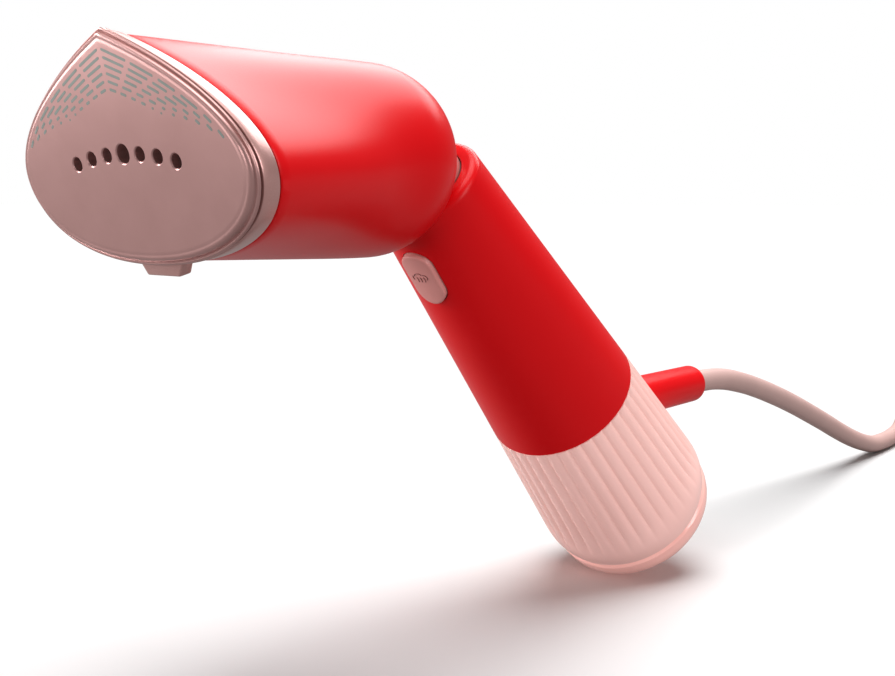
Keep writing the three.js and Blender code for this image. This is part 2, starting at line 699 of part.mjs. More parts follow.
add(head, 'hinge_carrier', makeCarrier(), 'nylon');
for (const [name, side] of [['bush_right', 1], ['bush_left', -1]]) {
  const low = Math.min(side * earInner, side * earOuter);
  const ring = cut(rod(bushRadius, low, low + earOuter - earInner),
    rod(pinRadius + gap, -20, 20));
  add(head, name, alongX(ring, [0, 0, 0]), 'brass');
}
add(head, 'hinge_pin', alongX(turned([[0, -13.5], [4.6, -13.5], [4.6, -earOuter - gap],
  [pinRadius, -earOuter - gap], [pinRadius, 13.8], [0, 13.8]], 16), [0, 0, 0]), 'steel');
add(head, 'pin_clip', alongX(cut(rod(4.8, earOuter + gap, 13.2), rod(pinRadius + gap, 5, 20)),
  [0, 0, 0]), 'steel');
add(head, 'detent_plunger', alongY(turned([[0, -33.8], [2.7, -33.8], [2.7, -30.9], [1.9, -30.9],
  [1.9, -25.4], [1.2, -24.6], [0, -24.4]], 20), [0, 0, 0]), 'steel');
add(head, 'detent_spring', alongY(spring(2.6, 0.4, 5, -42, -34.1), [0, 0, 0]), 'steel');
add(head, 'water_hose', tube([[-7, -53.5, 0.9], [-7.2, -50, 0.1], [-9, -44.5, -0.6],
  [-14, -37, -0.6], [-16, -28, 0], [-16, -12, 0]], 2.2, 16), 'silicone');
for (const [name, side] of [['heater_lead_live', 1], ['heater_lead_neutral', -1]]) {
  add(head, name, tube([[side * 13, -46, 8], [side * 13.3, -42, 8.8], [side * 14.6, -30, 9],
    [side * 15.5, -18, 7], [side * 15.5, -9, 5]], 1.2, 10, 5), 'darkRubber');
}

// ---- Cord, coil, tie and plug -------------------------------------------------------------------

const floorLevel = -106.3;    // the lowest point of the leaning end cap
const lying = floorLevel + cordRadius;
const coilCentre = [34, 460];
const upperTurns = lying + 2 * cordRadius * Math.sin(Math.PI / 3);
const tailHump = 1.2;         // the tail's rise as it crosses the outer turn

function cordTube(points, steps) {
  const path = new THREE.CatmullRomCurve3(points.map((p) => new THREE.Vector3(...p)), false,
    'centripetal');
  return solid(new THREE.ExtrudeGeometry(circleShape(cordRadius, 8), {
    steps, extrudePath: path, bevelEnabled: false,
  }));
}

// The outer shape of the wound turns, three below and two on top, grown by a clearance
function coil(clearance) {
  const inner = coilRadius - 3 * cordRadius - clearance;
  const outer = coilRadius + 3 * cordRadius + clearance;
  const low = floorLevel - clearance;
  const high = upperTurns + tailHump + cordRadius + clearance;
  const middle = lying + 0.5;
  return turned([[inner + 0.6, low], [outer - 0.6, low], [outer, middle], [outer - 4, high],
    [inner + 4, high], [inner, middle], [inner + 0.6, low]]).translate([...coilCentre, 0]);
}

const leadRoute = [
  [0, guardEnd - 7.7, guardHeight],
  [0, 140, guardHeight],
  [0, 156, -44.2],
  [0, 172, -47.2],
  [0, 190, -51.8],
  [0, 210, -57.8],
  [0, 230, -64.4],
  [0, 250, -71.6],
  [0, 270, -79],
  [0, 288, -85.9],
  [0, 306, -92.3],
  [0, 323, -97.4],
  [0, 338, -100.6],
  [-0.2, 352, lying + 0.25],
  [-0.9, 366, lying],
  [-2.8, 382, lying],
  [-6, 398, lying],
  [-10.2, 414, lying],
  [-14.8, 430, lying],
  [-18.8, 445, lying],
  [-21, 460, lying],
];
const plugPlace = [78, 318, floorLevel + 7.4];    // the middle of its face, lying on its flat side
const plugLength = 44;
const tailRoute = [
  [84.5, 460, upperTurns],
  [84.5, 450, upperTurns + 0.6],
  [84.3, 440, upperTurns + tailHump],
  [83.9, 430, upperTurns + 0.4],
  [83.1, 418, upperTurns - 2.6],
  [81.8, 405, lying + 1.6],
  [80.3, 392, lying + 0.2],
  [79, 378, lying + 1.4],
  [78.2, 368, plugPlace[2]],
  [78, plugPlace[1] + plugLength, plugPlace[2]],
];
add(steamer, 'cord', cut(cordTube(leadRoute, 28), coil(gap)), 'cable');
add(steamer, 'cord_coil', coil(0), 'cable');
add(steamer, 'cord_tail', cut(cordTube(tailRoute, 12), coil(gap)), 'cable');

// Plug: two round pins in a tapering grip
function makePlug() {
  const back = plugLength - gap;
  const tall = plugPlace[2] - floorLevel;
  const grip = alongY(turned([[0, 12], [12, 12], [13, 20], [8.5, back - 12], [6.4, back], [0, back]], 24),
    [0, 0, 0]);
  const flat = block([-20, -5, -tall], [20, back + 5, tall]);
  const nose = block([-15, 0, -tall], [15, 14, tall]);
  return join(grip.intersect(flat), nose).translate(plugPlace);
}
add(steamer, 'plug_body', makePlug(), 'cable');
for (const [name, side] of [['plug_pin_1', -1], ['plug_pin_2', 1]]) {
  const pin = turned([[0, -19], [1.4, -19], [pinGauge, -17.6], [pinGauge, -gap], [0, -gap]], 16);
  add(steamer, name, alongY(pin, [side * 9.5, 0, 0]).translate(plugPlace), 'brass');
}

export default steamer;
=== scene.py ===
import json
import math

import bmesh
import bpy
from mathutils import Matrix, Vector


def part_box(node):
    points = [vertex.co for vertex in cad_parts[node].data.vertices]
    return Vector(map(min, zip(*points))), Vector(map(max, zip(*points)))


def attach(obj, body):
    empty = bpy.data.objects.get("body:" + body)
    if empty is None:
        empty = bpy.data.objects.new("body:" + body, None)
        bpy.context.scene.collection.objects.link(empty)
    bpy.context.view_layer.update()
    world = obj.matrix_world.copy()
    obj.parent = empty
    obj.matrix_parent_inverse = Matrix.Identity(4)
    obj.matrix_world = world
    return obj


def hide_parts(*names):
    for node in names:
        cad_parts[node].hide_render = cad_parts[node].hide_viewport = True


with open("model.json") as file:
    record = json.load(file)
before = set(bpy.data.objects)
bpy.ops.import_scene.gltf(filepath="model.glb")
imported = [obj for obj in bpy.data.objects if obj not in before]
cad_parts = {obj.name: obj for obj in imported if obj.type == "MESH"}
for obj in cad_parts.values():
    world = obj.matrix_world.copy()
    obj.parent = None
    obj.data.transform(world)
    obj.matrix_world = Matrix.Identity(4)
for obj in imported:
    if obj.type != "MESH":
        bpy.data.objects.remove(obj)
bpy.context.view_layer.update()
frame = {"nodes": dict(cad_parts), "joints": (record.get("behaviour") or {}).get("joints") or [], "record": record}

joints = {joint["name"]: joint for joint in frame["joints"]}
mounts = {mount["name"]: mount for mount in frame["record"]["mounts"]}

# Pieces are modelled in millimetres, in the handle's, the head's or the steam plate's own frame,
# and go into the row frame, in metres, as each one is finished.
mm = 0.001
intoMetres = Matrix.Scale(mm, 4)
gap = 0.3                   # between pieces that touch
runningGap = 0.6            # between pieces that move past each other

foldCentre = Vector(joints["head_fold"]["pos_m"]) / mm
handleDown = Vector(joints["tank_release"]["axis"])
plateOut = Vector(mounts["steam_plate_face"]["axis"])
lean = math.atan2(handleDown.y, -handleDown.z)
plateTilt = math.asin(-plateOut.z)
plateDistance = 75.5        # from the fold's centre to the middle of the plate

handleFrame = Matrix.Rotation(lean, 4, "X")
headFrame = Matrix.Translation(foldCentre)
plateInHead = Matrix.Translation((0, -plateDistance, 0)) @ Matrix.Rotation(math.pi / 2 + plateTilt, 4, "X")
plateFrame = headFrame @ plateInHead
foldInHandle = handleFrame.inverted() @ foldCentre
print("frame loaded, the handle leans", round(math.degrees(lean), 1), "degrees")

view = {"place": (228.7, -302.4, 30.2), "azimuth": 39.45, "elevation": 6.52, "lens": 48.27}


def makeCamera():
    camera = bpy.data.objects.new("camera", bpy.data.cameras.new("camera"))
    bpy.context.scene.collection.objects.link(camera)
    camera.data.lens = view["lens"]
    camera.data.sensor_width = 36
    camera.data.clip_start = 0.01
    camera.location = Vector(view["place"]) * mm
    camera.rotation_euler = (math.radians(90 - view["elevation"]), 0, math.radians(view["azimuth"]))
    bpy.context.scene.camera = camera


makeCamera()


def linear(hexColour):
    # sRGB hex to linear RGBA
    channels = [int(hexColour[i:i + 2], 16) / 255 for i in (1, 3, 5)]
    return tuple(c / 12.92 if c <= 0.04045 else ((c + 0.055) / 1.055) ** 2.4 for c in channels) + (1.0,)


def addNode(tree, kind, inputs=None, **settings):
    # one node: its settings, then its sockets, each linked to an output or set to a value
    made = tree.nodes.new(kind)
    for name, value in settings.items():
        setattr(made, name, value)
    for key, value in (inputs or {}).items():
        if isinstance(value, bpy.types.NodeSocket):
            tree.links.new(value, made.inputs[key])
        else:
            made.inputs[key].default_value = value
    return made


# What each finish is, with colour, grain size in mm, how far the grain moves roughness and surface,
# and the numbers of its shader.
finishes = {
    # satin ABS from a spark-eroded mould: a fine even grain that spreads the highlights
    "mouldedAbsRed": {"light": "#dc0a12", "dark": "#d0070e", "patch": 40, "grain": 0.35, "bump": 0.03,
                      "rough": (0.28, 0.34), "shader": {"Specular IOR Level": 0.12, "IOR": 1.53}},
    # satin rose plastic, moulded in colour
    "mouldedAbsRose": {"light": "#d78f89", "dark": "#cb857f", "patch": 12, "grain": 0.3, "bump": 0.03,
                       "rough": (0.36, 0.44), "shader": {"Specular IOR Level": 0.3, "IOR": 1.53}},
    # metallic rose lacquer over plastic: fine flakes under a thin clear coat
    "lacquerRose": {"light": "#cb9c96", "dark": "#b98883", "patch": 0.25, "grain": 0.2, "bump": 0.02,
                    "rough": (0.30, 0.40), "shader": {
                        "Metallic": 0.55, "Coat Weight": 0.25, "Coat Roughness": 0.2}},
    # ceramic-metallic coating on a cast sole: smooth, with a faint cloudiness
    "coatedPlateRose": {"light": "#b98d89", "dark": "#ad827e", "patch": 9, "grain": 0.3, "bump": 0.015,
                        "rough": (0.30, 0.37), "shader": {"Metallic": 0.6}},
    # matt ink printed on the coating
    "plateInk": {"light": "#6f7771", "dark": "#666e68", "patch": 0.5, "grain": 0.1, "bump": 0.01,
                 "rough": (0.5, 0.6), "shader": {"Metallic": 0.1}},
    # satin steel, drawn and ground
    "satinSteel": {"light": "#c4c7ca", "dark": "#a9acb0", "patch": 2, "grain": 0.3, "bump": 0.03,
                   "rough": (0.28, 0.42), "shader": {"Metallic": 1.0}},
    # die-cast aluminium, grainy and dull
    "castAluminium": {"light": "#a9acae", "dark": "#8d9093", "patch": 3, "grain": 0.5, "bump": 0.12,
                      "rough": (0.45, 0.62), "shader": {"Metallic": 1.0}},
    "turnedBrass": {"light": "#c9a45c", "dark": "#b08d4a", "patch": 3, "grain": 0.3, "bump": 0.02,
                    "rough": (0.25, 0.38), "shader": {"Metallic": 1.0}},
    # black nylon and rubber mouldings
    "blackMoulding": {"light": "#2b2b2c", "dark": "#202021", "patch": 4, "grain": 0.4, "bump": 0.08,
                      "rough": (0.6, 0.75), "shader": {}},
    # translucent silicone rubber, matt
    "siliconeRubber": {"light": "#dcd9d1", "dark": "#cfccc3", "patch": 5, "grain": 0.5, "bump": 0.03,
                       "rough": (0.5, 0.6), "shader": {"Transmission Weight": 0.25, "IOR": 1.41}},
    "naturalNylon": {"light": "#dedbd2", "dark": "#d0ccc2", "patch": 8, "grain": 0.4, "bump": 0.05,
                     "rough": (0.48, 0.58), "shader": {"IOR": 1.53}},
    # solder mask over copper tracks
    "solderMask": {"light": "#2f6f3d", "dark": "#245832", "patch": 1.5, "grain": 0.6, "bump": 0.1,
                   "rough": (0.35, 0.5), "shader": {}},
    # soft PVC cord cover, extruded: matt with a slight drag grain
    "cordPvc": {"light": "#c8a49e", "dark": "#bb9892", "patch": 12, "grain": 0.5, "bump": 0.06,
                "rough": (0.5, 0.6), "shader": {"IOR": 1.52}},
    # tinted styrene-acrylonitrile, a little milky: light passes but shapes behind it blur; the emission is a
    # painted glow
    "tintedSan": {"light": "#f6c6be", "dark": "#f0bbb2", "patch": 25, "grain": 0.6, "bump": 0.01,
                  "rough": (0.2, 0.26), "shader": {
                      # painted glow: the emission stands in for light coming through the walls
                      "Transmission Weight": 0.12, "IOR": 1.57, "Emission Color": linear("#ffded8"),
                      "Emission Strength": 0.17}},
    # the end cap: thicker tint, with a stronger painted glow (emission) that lightens its shaded underside
    "tintedSanThick": {"light": "#f2b9b0", "dark": "#ecaea4", "patch": 25, "grain": 0.6, "bump": 0.01,
                       "rough": (0.14, 0.2), "shader": {
                           "Transmission Weight": 0.12, "IOR": 1.57, "Emission Color": linear("#ffd0c8"),
                           "Emission Strength": 0.2}},
    # the same lacquer, darker and duller, for the steam sign where the icon is engraved
    "engravedRose": {"light": "#8f5450", "dark": "#824a46", "patch": 1, "grain": 0.2, "bump": 0.02,
                     "rough": (0.5, 0.6), "shader": {"Metallic": 0.3}},
}


def makeMaterial(name, look):
    material = bpy.data.materials.new(name)
    material.use_nodes = True
    tree = material.node_tree
    tree.nodes.clear()
    place = addNode(tree, "ShaderNodeTexCoord").outputs["Object"]
    patches = addNode(tree, "ShaderNodeTexNoise", {
        "Vector": place, "Scale": 1 / (look["patch"] * mm), "Detail": 3.0})
    grain = addNode(tree, "ShaderNodeTexNoise", {
        "Vector": place, "Scale": 1 / (look["grain"] * mm), "Detail": 2.0})
    colour = addNode(tree, "ShaderNodeMix", {
        0: patches.outputs["Fac"], 6: linear(look["dark"]), 7: linear(look["light"])}, data_type="RGBA")
    low, high = look["rough"]
    rough = addNode(tree, "ShaderNodeMapRange", {"Value": grain.outputs["Fac"], "To Min": low, "To Max": high})
    bump = addNode(tree, "ShaderNodeBump", {
        "Height": grain.outputs["Fac"], "Strength": look["bump"], "Distance": look["grain"] * mm})
    shader = addNode(tree, "ShaderNodeBsdfPrincipled", {
        "Base Color": colour.outputs[2], "Roughness": rough.outputs["Result"],
        "Normal": bump.outputs["Normal"], **look["shader"]})
    addNode(tree, "ShaderNodeOutputMaterial", {"Surface": shader.outputs["BSDF"]})
    return material


materials = {name: makeMaterial(name, look) for name, look in finishes.items()}
slotFinish = {
    "red_plastic": "mouldedAbsRed", "rose_plastic": "lacquerRose", "plate_coating": "coatedPlateRose",
    "clear_rose_plastic": "tintedSan", "steel": "satinSteel", "cast_aluminium": "castAluminium",
    "brass": "turnedBrass", "black_plastic": "blackMoulding", "silicone": "siliconeRubber",
    "nylon": "naturalNylon", "circuit_board": "solderMask", "cord_cover": "cordPvc",
}
for part in frame["record"]["subparts"]:
    for slot in frame["nodes"][part["node"]].material_slots:
        slot.material = materials[slotFinish[part["material_slot"]]]
print("materials made:", len(materials))


def dressPiece(piece, finish, body, replaced=()):
    piece.data.materials.append(materials[finish])
    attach(piece, body)
    if replaced:
        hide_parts(*replaced)
    return piece


def finishPiece(name, bm, place, finish, body, replaced=(), sharp=38):
    bmesh.ops.remove_doubles(bm, verts=bm.verts, dist=0.002)
    bmesh.ops.dissolve_degenerate(bm, edges=bm.edges, dist=0.001)
    bmesh.ops.transform(bm, matrix=intoMetres @ place, verts=bm.verts)
    mesh = bpy.data.meshes.new(name)
    bm.to_mesh(mesh)
    bm.free()
    mesh.shade_smooth()
    mesh.set_sharp_from_angle(angle=math.radians(sharp))
    piece = bpy.data.objects.new(name, mesh)
    bpy.context.scene.collection.objects.link(piece)
    return dressPiece(piece, finish, body, replaced)


def filleted(corners, steps=6):
    # a profile from (x, y, fillet) corners, each fillet an arc
    made = []
    for i, (x, y, radius) in enumerate(corners):
        here = Vector((x, y))
        if not radius or i in (0, len(corners) - 1):
            made.append(here)
            continue
        before = Vector(corners[i - 1][:2]) - here
        after = Vector(corners[i + 1][:2]) - here
        half = before.angle(after) / 2
        reach = min(radius / math.tan(half), 0.49 * before.length, 0.49 * after.length)
        middle = here + (before.normalized() + after.normalized()).normalized() * (reach / math.cos(half))
        first = here + before.normalized() * reach - middle
        last = here + after.normalized() * reach - middle
        swing = first.angle(last)
        for k in range(steps + 1):
            share = k / steps
            spoke = (first * math.sin((1 - share) * swing) + last * math.sin(share * swing)) / math.sin(swing)
            made.append(middle + spoke)
    return made


def divided(points, step):
    # the same line with no stretch longer than a step
    made = [Vector(points[0])]
    for point in points[1:]:
        point = Vector(point)
        count = max(1, math.ceil((point - made[-1]).length / step))
        start = made[-1]
        made += [start.lerp(point, k / count) for k in range(1, count + 1)]
    return made


def spun(profile, steps=128):
    # a profile of (radius, height) turned about z
    bm = bmesh.new()
    corners = [bm.verts.new((x, 0, y)) for x, y in profile]
    edges = [bm.edges.new(pair) for pair in zip(corners, corners[1:])]
    bmesh.ops.spin(bm, geom=corners + edges, cent=(0, 0, 0), axis=(0, 0, 1), angle=2 * math.pi,
                   steps=steps, use_merge=True)
    bmesh.ops.remove_doubles(bm, verts=bm.verts, dist=0.001)
    bmesh.ops.recalc_face_normals(bm, faces=bm.faces)
    return bm


def ringed(rings, joined=False):
    # a skin through rings of points: the first and last are filled, or joined to each other
    bm = bmesh.new()
    loop = bmesh.ops.create_circle(bm, radius=1, segments=len(rings[0]))["verts"]
    edges = firstEdges = list(bm.edges)
    for number, ring in enumerate(rings):
        if number:
            made = bmesh.ops.extrude_edge_only(bm, edges=edges)["geom"]
            fresh = {item for item in made if isinstance(item, bmesh.types.BMVert)}
            loop = [next(edge.other_vert(v) for edge in v.link_edges if edge.other_vert(v) in fresh)
                    for v in loop]
            edges = [item for item in made
                     if isinstance(item, bmesh.types.BMEdge) and set(item.verts) <= fresh]
        for vert, point in zip(loop, ring):
            vert.co = point
    if joined:
        bmesh.ops.bridge_loops(bm, edges=firstEdges + edges)
    else:
        bmesh.ops.contextual_create(bm, geom=firstEdges)
        bmesh.ops.contextual_create(bm, geom=edges)
    bmesh.ops.remove_doubles(bm, verts=bm.verts, dist=0.001)
    bmesh.ops.recalc_face_normals(bm, faces=bm.faces)
    return bm


def prism(points, low, high):
    # an outline in x and z, carried from y = low to y = high
    bm = bmesh.new()
    face = bm.faces.new([bm.verts.new((x, low, z)) for x, z in points])
    made = bmesh.ops.extrude_face_region(bm, geom=[face])["geom"]
    moved = [item for item in made if isinstance(item, bmesh.types.BMVert)]
    bmesh.ops.translate(bm, vec=(0, high - low, 0), verts=moved)
    bmesh.ops.recalc_face_normals(bm, faces=bm.faces)
    return bm


def brick(low, high):
    bm = bmesh.new()
    size = Vector(high) - Vector(low)
    middle = (Vector(high) + Vector(low)) / 2
    bmesh.ops.create_cube(bm, size=1, matrix=Matrix.Translation(middle) @ Matrix.Diagonal((*size, 1)))
    return bm


def looseObject(bm, name):
    mesh = bpy.data.meshes.new(name)
    bm.to_mesh(mesh)
    bm.free()
    made = bpy.data.objects.new(name, mesh)
    bpy.context.scene.collection.objects.link(made)
    return made


def carved(bm, *tools, operation="DIFFERENCE"):
    # cuts with each tool in turn, or joins it on
    for tool in tools:
        body, cutter = looseObject(bm, "body"), looseObject(tool, "cutter")
        modifier = body.modifiers.new("carve", "BOOLEAN")
        modifier.operation = operation
        modifier.solver = "EXACT"
        modifier.object = cutter
        result = body.evaluated_get(bpy.context.evaluated_depsgraph_get())
        bm = bmesh.new()
        bm.from_mesh(result.to_mesh())
        result.to_mesh_clear()
        for made in (body, cutter):
            mesh = made.data
            bpy.data.objects.remove(made)
            bpy.data.meshes.remove(mesh)
    return bm


# The handle's cone, and the tongue of it that runs down behind the tank
handle = {
    "top": 51, "foot": -50, "topRadius": 17.34, "footRadius": 31.56, "footHeight": -114, "wall": 2.2,
    "topFillet": 5, "roof": 3, "mouth": 12.7, "tongueHalfWidth": 10, "tongueLength": 53, "tongueThickness": 7,
}
ballClearance = 27.0        # the dome's radius and the running gap
beyond = 60                 # farther out than any wall, for the edges of cutters
taper = (handle["footRadius"] - handle["topRadius"]) / (handle["top"] - handle["footHeight"])
tongueFoot = handle["foot"] - handle["tongueLength"]


def coneRadius(height):
    return handle["topRadius"] + taper * (handle["top"] - height)


def roundFoot(half, low):
    # the half circle, in x and z, that ends a strip
    angles = [math.pi * k / 16 for k in range(17)]
    return [(half * math.cos(a), low + half - half * math.sin(a)) for a in angles]


def pillRing(width, length, inset=0, steps=20):
    # a pill outline in x and z, drawn in by an inset, with even spacing on its straights
    radius, straight = width / 2 - inset, (length - width) / 2
    points = []
    for side in (1, -1):
        for k in range(steps + 1):
            angle = math.pi * k / steps
            points.append((side * radius * math.cos(angle), side * (straight + radius * math.sin(angle))))
        for k in range(1, steps):
            points.append((-side * radius, side * straight * (1 - 2 * k / steps)))
    return points


def ball(radius):
    bm = bmesh.new()
    bmesh.ops.create_uvsphere(bm, u_segments=96, v_segments=64, radius=radius,
                              matrix=Matrix.Translation(foldInHandle) @ Matrix.Rotation(math.pi / 2, 4, "Y"))
    return bm


button = {"width": 10.4, "length": 19, "height": 30.5, "proud": 1.5, "inner": -11.6}


def makeHandleShell():
    top, foot, wall, roof = handle["top"], handle["foot"], handle["wall"], handle["top"] - handle["roof"]
    thick = handle["tongueThickness"]
    outer = [(coneRadius(tongueFoot - 3), tongueFoot - 3, 0), (coneRadius(top), top, handle["topFillet"]),
             (handle["mouth"], top, 0.4), (handle["mouth"], roof, 0)]
    tongueTop = foot - 0.5
    low = tongueFoot - 3
    inner = [(coneRadius(roof) - wall, roof, 1), (coneRadius(tongueTop) - wall, tongueTop, 0),
             (coneRadius(tongueTop) - thick, tongueTop, 0), (coneRadius(low) - thick, low, 0),
             (coneRadius(low), low, 0)]
    bm = spun(divided(filleted(outer + inner, 8), 2.5), 144)
    half = handle["tongueHalfWidth"]
    notch = roundFoot(half, tongueFoot)
    below = foot - 90
    around = [(-half, foot), (-beyond, foot), (-beyond, below), (beyond, below), (beyond, foot),
              (half, foot)]
    hole = prism([(x, z + button["height"]) for x, z in
                  pillRing(button["width"] + runningGap, button["length"] + runningGap)], -beyond, -2)
    frontHalf = brick((-beyond, -beyond, below), (beyond, 0, foot))
    bm = carved(bm, frontHalf, prism(notch + around, -1, beyond), ball(ballClearance), hole)
    finishPiece("handleShell", bm, handleFrame, "mouldedAbsRed", "handle", ["handle_shell"])


makeHandleShell()
print("handle shell made")

knuckle = {"collar": 12.4, "collarFoot": 36, "collarTop": 61, "drum": 23.4, "halfWidth": 7,
           "neck": ((-7, -11.4, 47.4), (7, 0.8, 62))}


def makeKnuckle():
    wide, low, high = knuckle["collar"], knuckle["collarFoot"], knuckle["collarTop"]
    collar = spun(divided(filleted([(0, low, 0), (wide, low, 0.5), (wide, high, 1.2), (0, high, 0)]), 2), 128)
    half, radius = knuckle["halfWidth"], knuckle["drum"]
    rise = [(math.sqrt(radius ** 2 - x ** 2), x) for x in [half * (k / 8 - 1) for k in range(17)]]
    drum = spun([(0, -half)] + rise + [(0, half)], 128)
    bmesh.ops.transform(drum, matrix=Matrix.Translation(foldInHandle) @ Matrix.Rotation(math.pi / 2, 4, "Y"),
                        verts=drum.verts)
    bm = carved(collar, ball(ballClearance))
    bm = carved(bm, brick(*knuckle["neck"]), drum, operation="UNION")
    finishPiece("hingeKnuckle", bm, handleFrame, "lacquerRose", "handle", ["hinge_knuckle"])


makeKnuckle()


def makeButton():
    # a pill whose face follows the cone, with a soft edge all round
    def faceDepth(x, z):
        return -math.sqrt((coneRadius(z + button["height"]) + button["proud"]) ** 2 - x ** 2)

    rows = [(0, None), (0, 0.7), (0.05, 0.36), (0.16, 0.16), (0.35, 0.04), (0.6, 0), (1.3, 0), (2.2, 0),
            (3.2, 0), (4.1, 0), (4.8, 0)]
    rings = []
    for inset, sunk in rows:
        outline = pillRing(button["width"], button["length"], inset)
        rings.append([(x, button["inner"] if sunk is None else faceDepth(x, z) + sunk, z + button["height"])
                      for x, z in outline])
    finishPiece("triggerButton", ringed(rings), handleFrame, "mouldedAbsRose", "trigger",
                ["trigger_button"], 50)

    # a puff with three strokes rising under it, a plain sign for steam
    puff = [(-2.5, 0.5), (-2.8, 1.2), (-2.5, 1.9), (-1.8, 2.15), (-1.3, 2.7), (-0.5, 3.05), (0.4, 2.9),
            (1.0, 2.4), (1.8, 2.35), (2.4, 1.8), (2.6, 1.1), (2.2, 0.5)]
    strokes = [[(x + 0.2 * math.sin(k), 1.5 - 0.6 * k) for k in range(4)] for x in (-1.25, 0, 1.25)]
    data = bpy.data.curves.new("steamSign", "CURVE")
    data.dimensions = "3D"
    data.bevel_depth = 0.16 * mm
    data.bevel_resolution = 2
    data.use_fill_caps = True
    for line in [puff] + strokes:
        spline = data.splines.new("BEZIER")
        spline.bezier_points.add(len(line) - 1)
        for point, (x, z) in zip(spline.bezier_points, line):
            point.co = handleFrame @ Vector((x, faceDepth(x, z) - 0.02, z + button["height"])) * mm
            point.handle_left_type = point.handle_right_type = "AUTO"
    sign = bpy.data.objects.new("steamSign", data)
    bpy.context.scene.collection.objects.link(sign)
    dressPiece(sign, "engravedRose", "trigger")


makeButton()
print("knuckle and button made")

# The tank: a ribbed cone with a channel for the tongue, and an end cap
tank = {
    "top": -50.5, "foot": -114, "wall": 2, "ribs": 38, "ribDepth": 0.8, "fadeFrom": -94, "fadeTo": -109,
    "shoulder": 9, "tuck": 2, "spigot": 20.4, "spigotHeight": 8, "spigotGap": ((-14, 8), (14, 40)),
    "filler": 5.3, "fillerPlace": -14, "outlet": 2.6,
}


def channelCutter(clearance):
    # the strip that the tongue fills, wider and deeper by a clearance
    half = handle["tongueHalfWidth"] + clearance
    low, high = tongueFoot - clearance, handle["foot"] + 30
    depth = handle["tongueThickness"] + clearance
    foot, top = low - 20, high + 20
    core = spun([(0, foot), (coneRadius(foot) - depth, foot), (coneRadius(top) - depth, top), (0, top)])
    return carved(prism(roundFoot(half, low) + [(-half, high), (half, high)], 2, 70), core)


def tankRadius(height):
    # the cone, drawn in a little at its rounded shoulder
    share = max(0, (tank["foot"] + tank["shoulder"] - height) / tank["shoulder"])
    return coneRadius(height) - tank["tuck"] * share ** 2


def makeTankBody():
    top, foot, wall = tank["top"], tank["foot"], tank["wall"]
    wallLine = [(tankRadius(z), z) for z in [foot + (top - foot) * k / 40 for k in range(41)]]
    outside = spun([(0, foot)] + wallLine + [(0, top)], tank["ribs"] * 10)
    for vert in outside.verts:
        turn = math.atan2(vert.co.y, vert.co.x)
        radius = math.hypot(vert.co.x, vert.co.y)
        if radius > tankRadius(vert.co.z) - 0.05:
            fade = min(1, max(0, (vert.co.z - tank["fadeTo"]) / (tank["fadeFrom"] - tank["fadeTo"])))
            groove = (1 - abs(math.sin(tank["ribs"] / 2 * turn))) ** 1.5
            drop = tank["ribDepth"] * groove * fade * fade * (3 - 2 * fade)
            vert.co.x *= 1 - drop / radius
            vert.co.y *= 1 - drop / radius
    innerLine = [(tankRadius(z) - wall, z) for z in [foot + tank["shoulder"] * k / 8 for k in range(9)]]
    inside = spun([(0, foot - 5), (innerLine[0][0], foot - 5)] + innerLine
                  + [(coneRadius(top - wall) - wall, top - wall), (0, top - wall)], 128)
    outside = carved(outside, channelCutter(runningGap))
    inside = carved(inside, channelCutter(runningGap + wall))
    radius, high = tank["spigot"], top + tank["spigotHeight"]
    spigot = spun([(radius, top - 1), (radius, high), (radius - wall, high), (radius - wall, top - 1),
                   (radius, top - 1)], 96)
    near, far = tank["spigotGap"]
    spigot = carved(spigot, brick((*near, top - 2), (*far, high + 5)))
    bm = carved(carved(outside, inside), spigot, operation="UNION")
    for radius, place, steps in ((tank["filler"], tank["fillerPlace"], 48), (tank["outlet"], 0, 32)):
        drill = spun([(0, top - 10), (radius, top - 10), (radius, top + 10), (0, top + 10)], steps)
        bmesh.ops.translate(drill, vec=(0, place, 0), verts=drill.verts)
        bm = carved(bm, drill)
    finishPiece("tankBody", bm, handleFrame, "tintedSan", "tank", ["tank_body"])


makeTankBody()

cap = {"top": -114.3, "radius": 29.96, "height": 16.5, "flat": 9, "lip": 29.2, "wall": 3}


def capProfile(inset, rows=18):
    # a flattened dome, drawn in by an inset
    line = []
    for k in range(rows + 1):
        angle = math.pi / 2 * k / rows
        radius = max(cap["radius"] * math.cos(angle) ** 0.8, cap["flat"])
        drop = 2 + (cap["height"] - 2) * math.sin(angle) ** 0.9
        line.append((radius * (1 - inset / cap["radius"]), cap["top"] - drop * (1 - inset / cap["height"])))
    return line


def makeEndCap():
    top, wall = cap["top"], cap["wall"]
    lip = filleted([(cap["lip"] - wall, top, 0), (cap["lip"], top, 0.5), (cap["radius"], top - 1.1, 0.6),
                    (cap["radius"], top - 2, 0)], 5)
    outer = lip[1:] + [Vector(p) for p in capProfile(0)[1:]] + [Vector((0, top - cap["height"]))]
    inner = [Vector((0, top - cap["height"] + wall))] + [Vector(p) for p in reversed(capProfile(wall))]
    inner += [Vector((cap["lip"] - wall, top))]
    finishPiece("tankEndCap", spun(outer + inner + [outer[0]], 144), handleFrame, "tintedSanThick", "tank",
                ["tank_end_cap"])


makeEndCap()
print("tank made")

guard = {"radius": 7.25, "end": 129.5, "height": -42.9, "fillet": 2.6, "start": 60, "bore": 4.8, "sunk": 3}


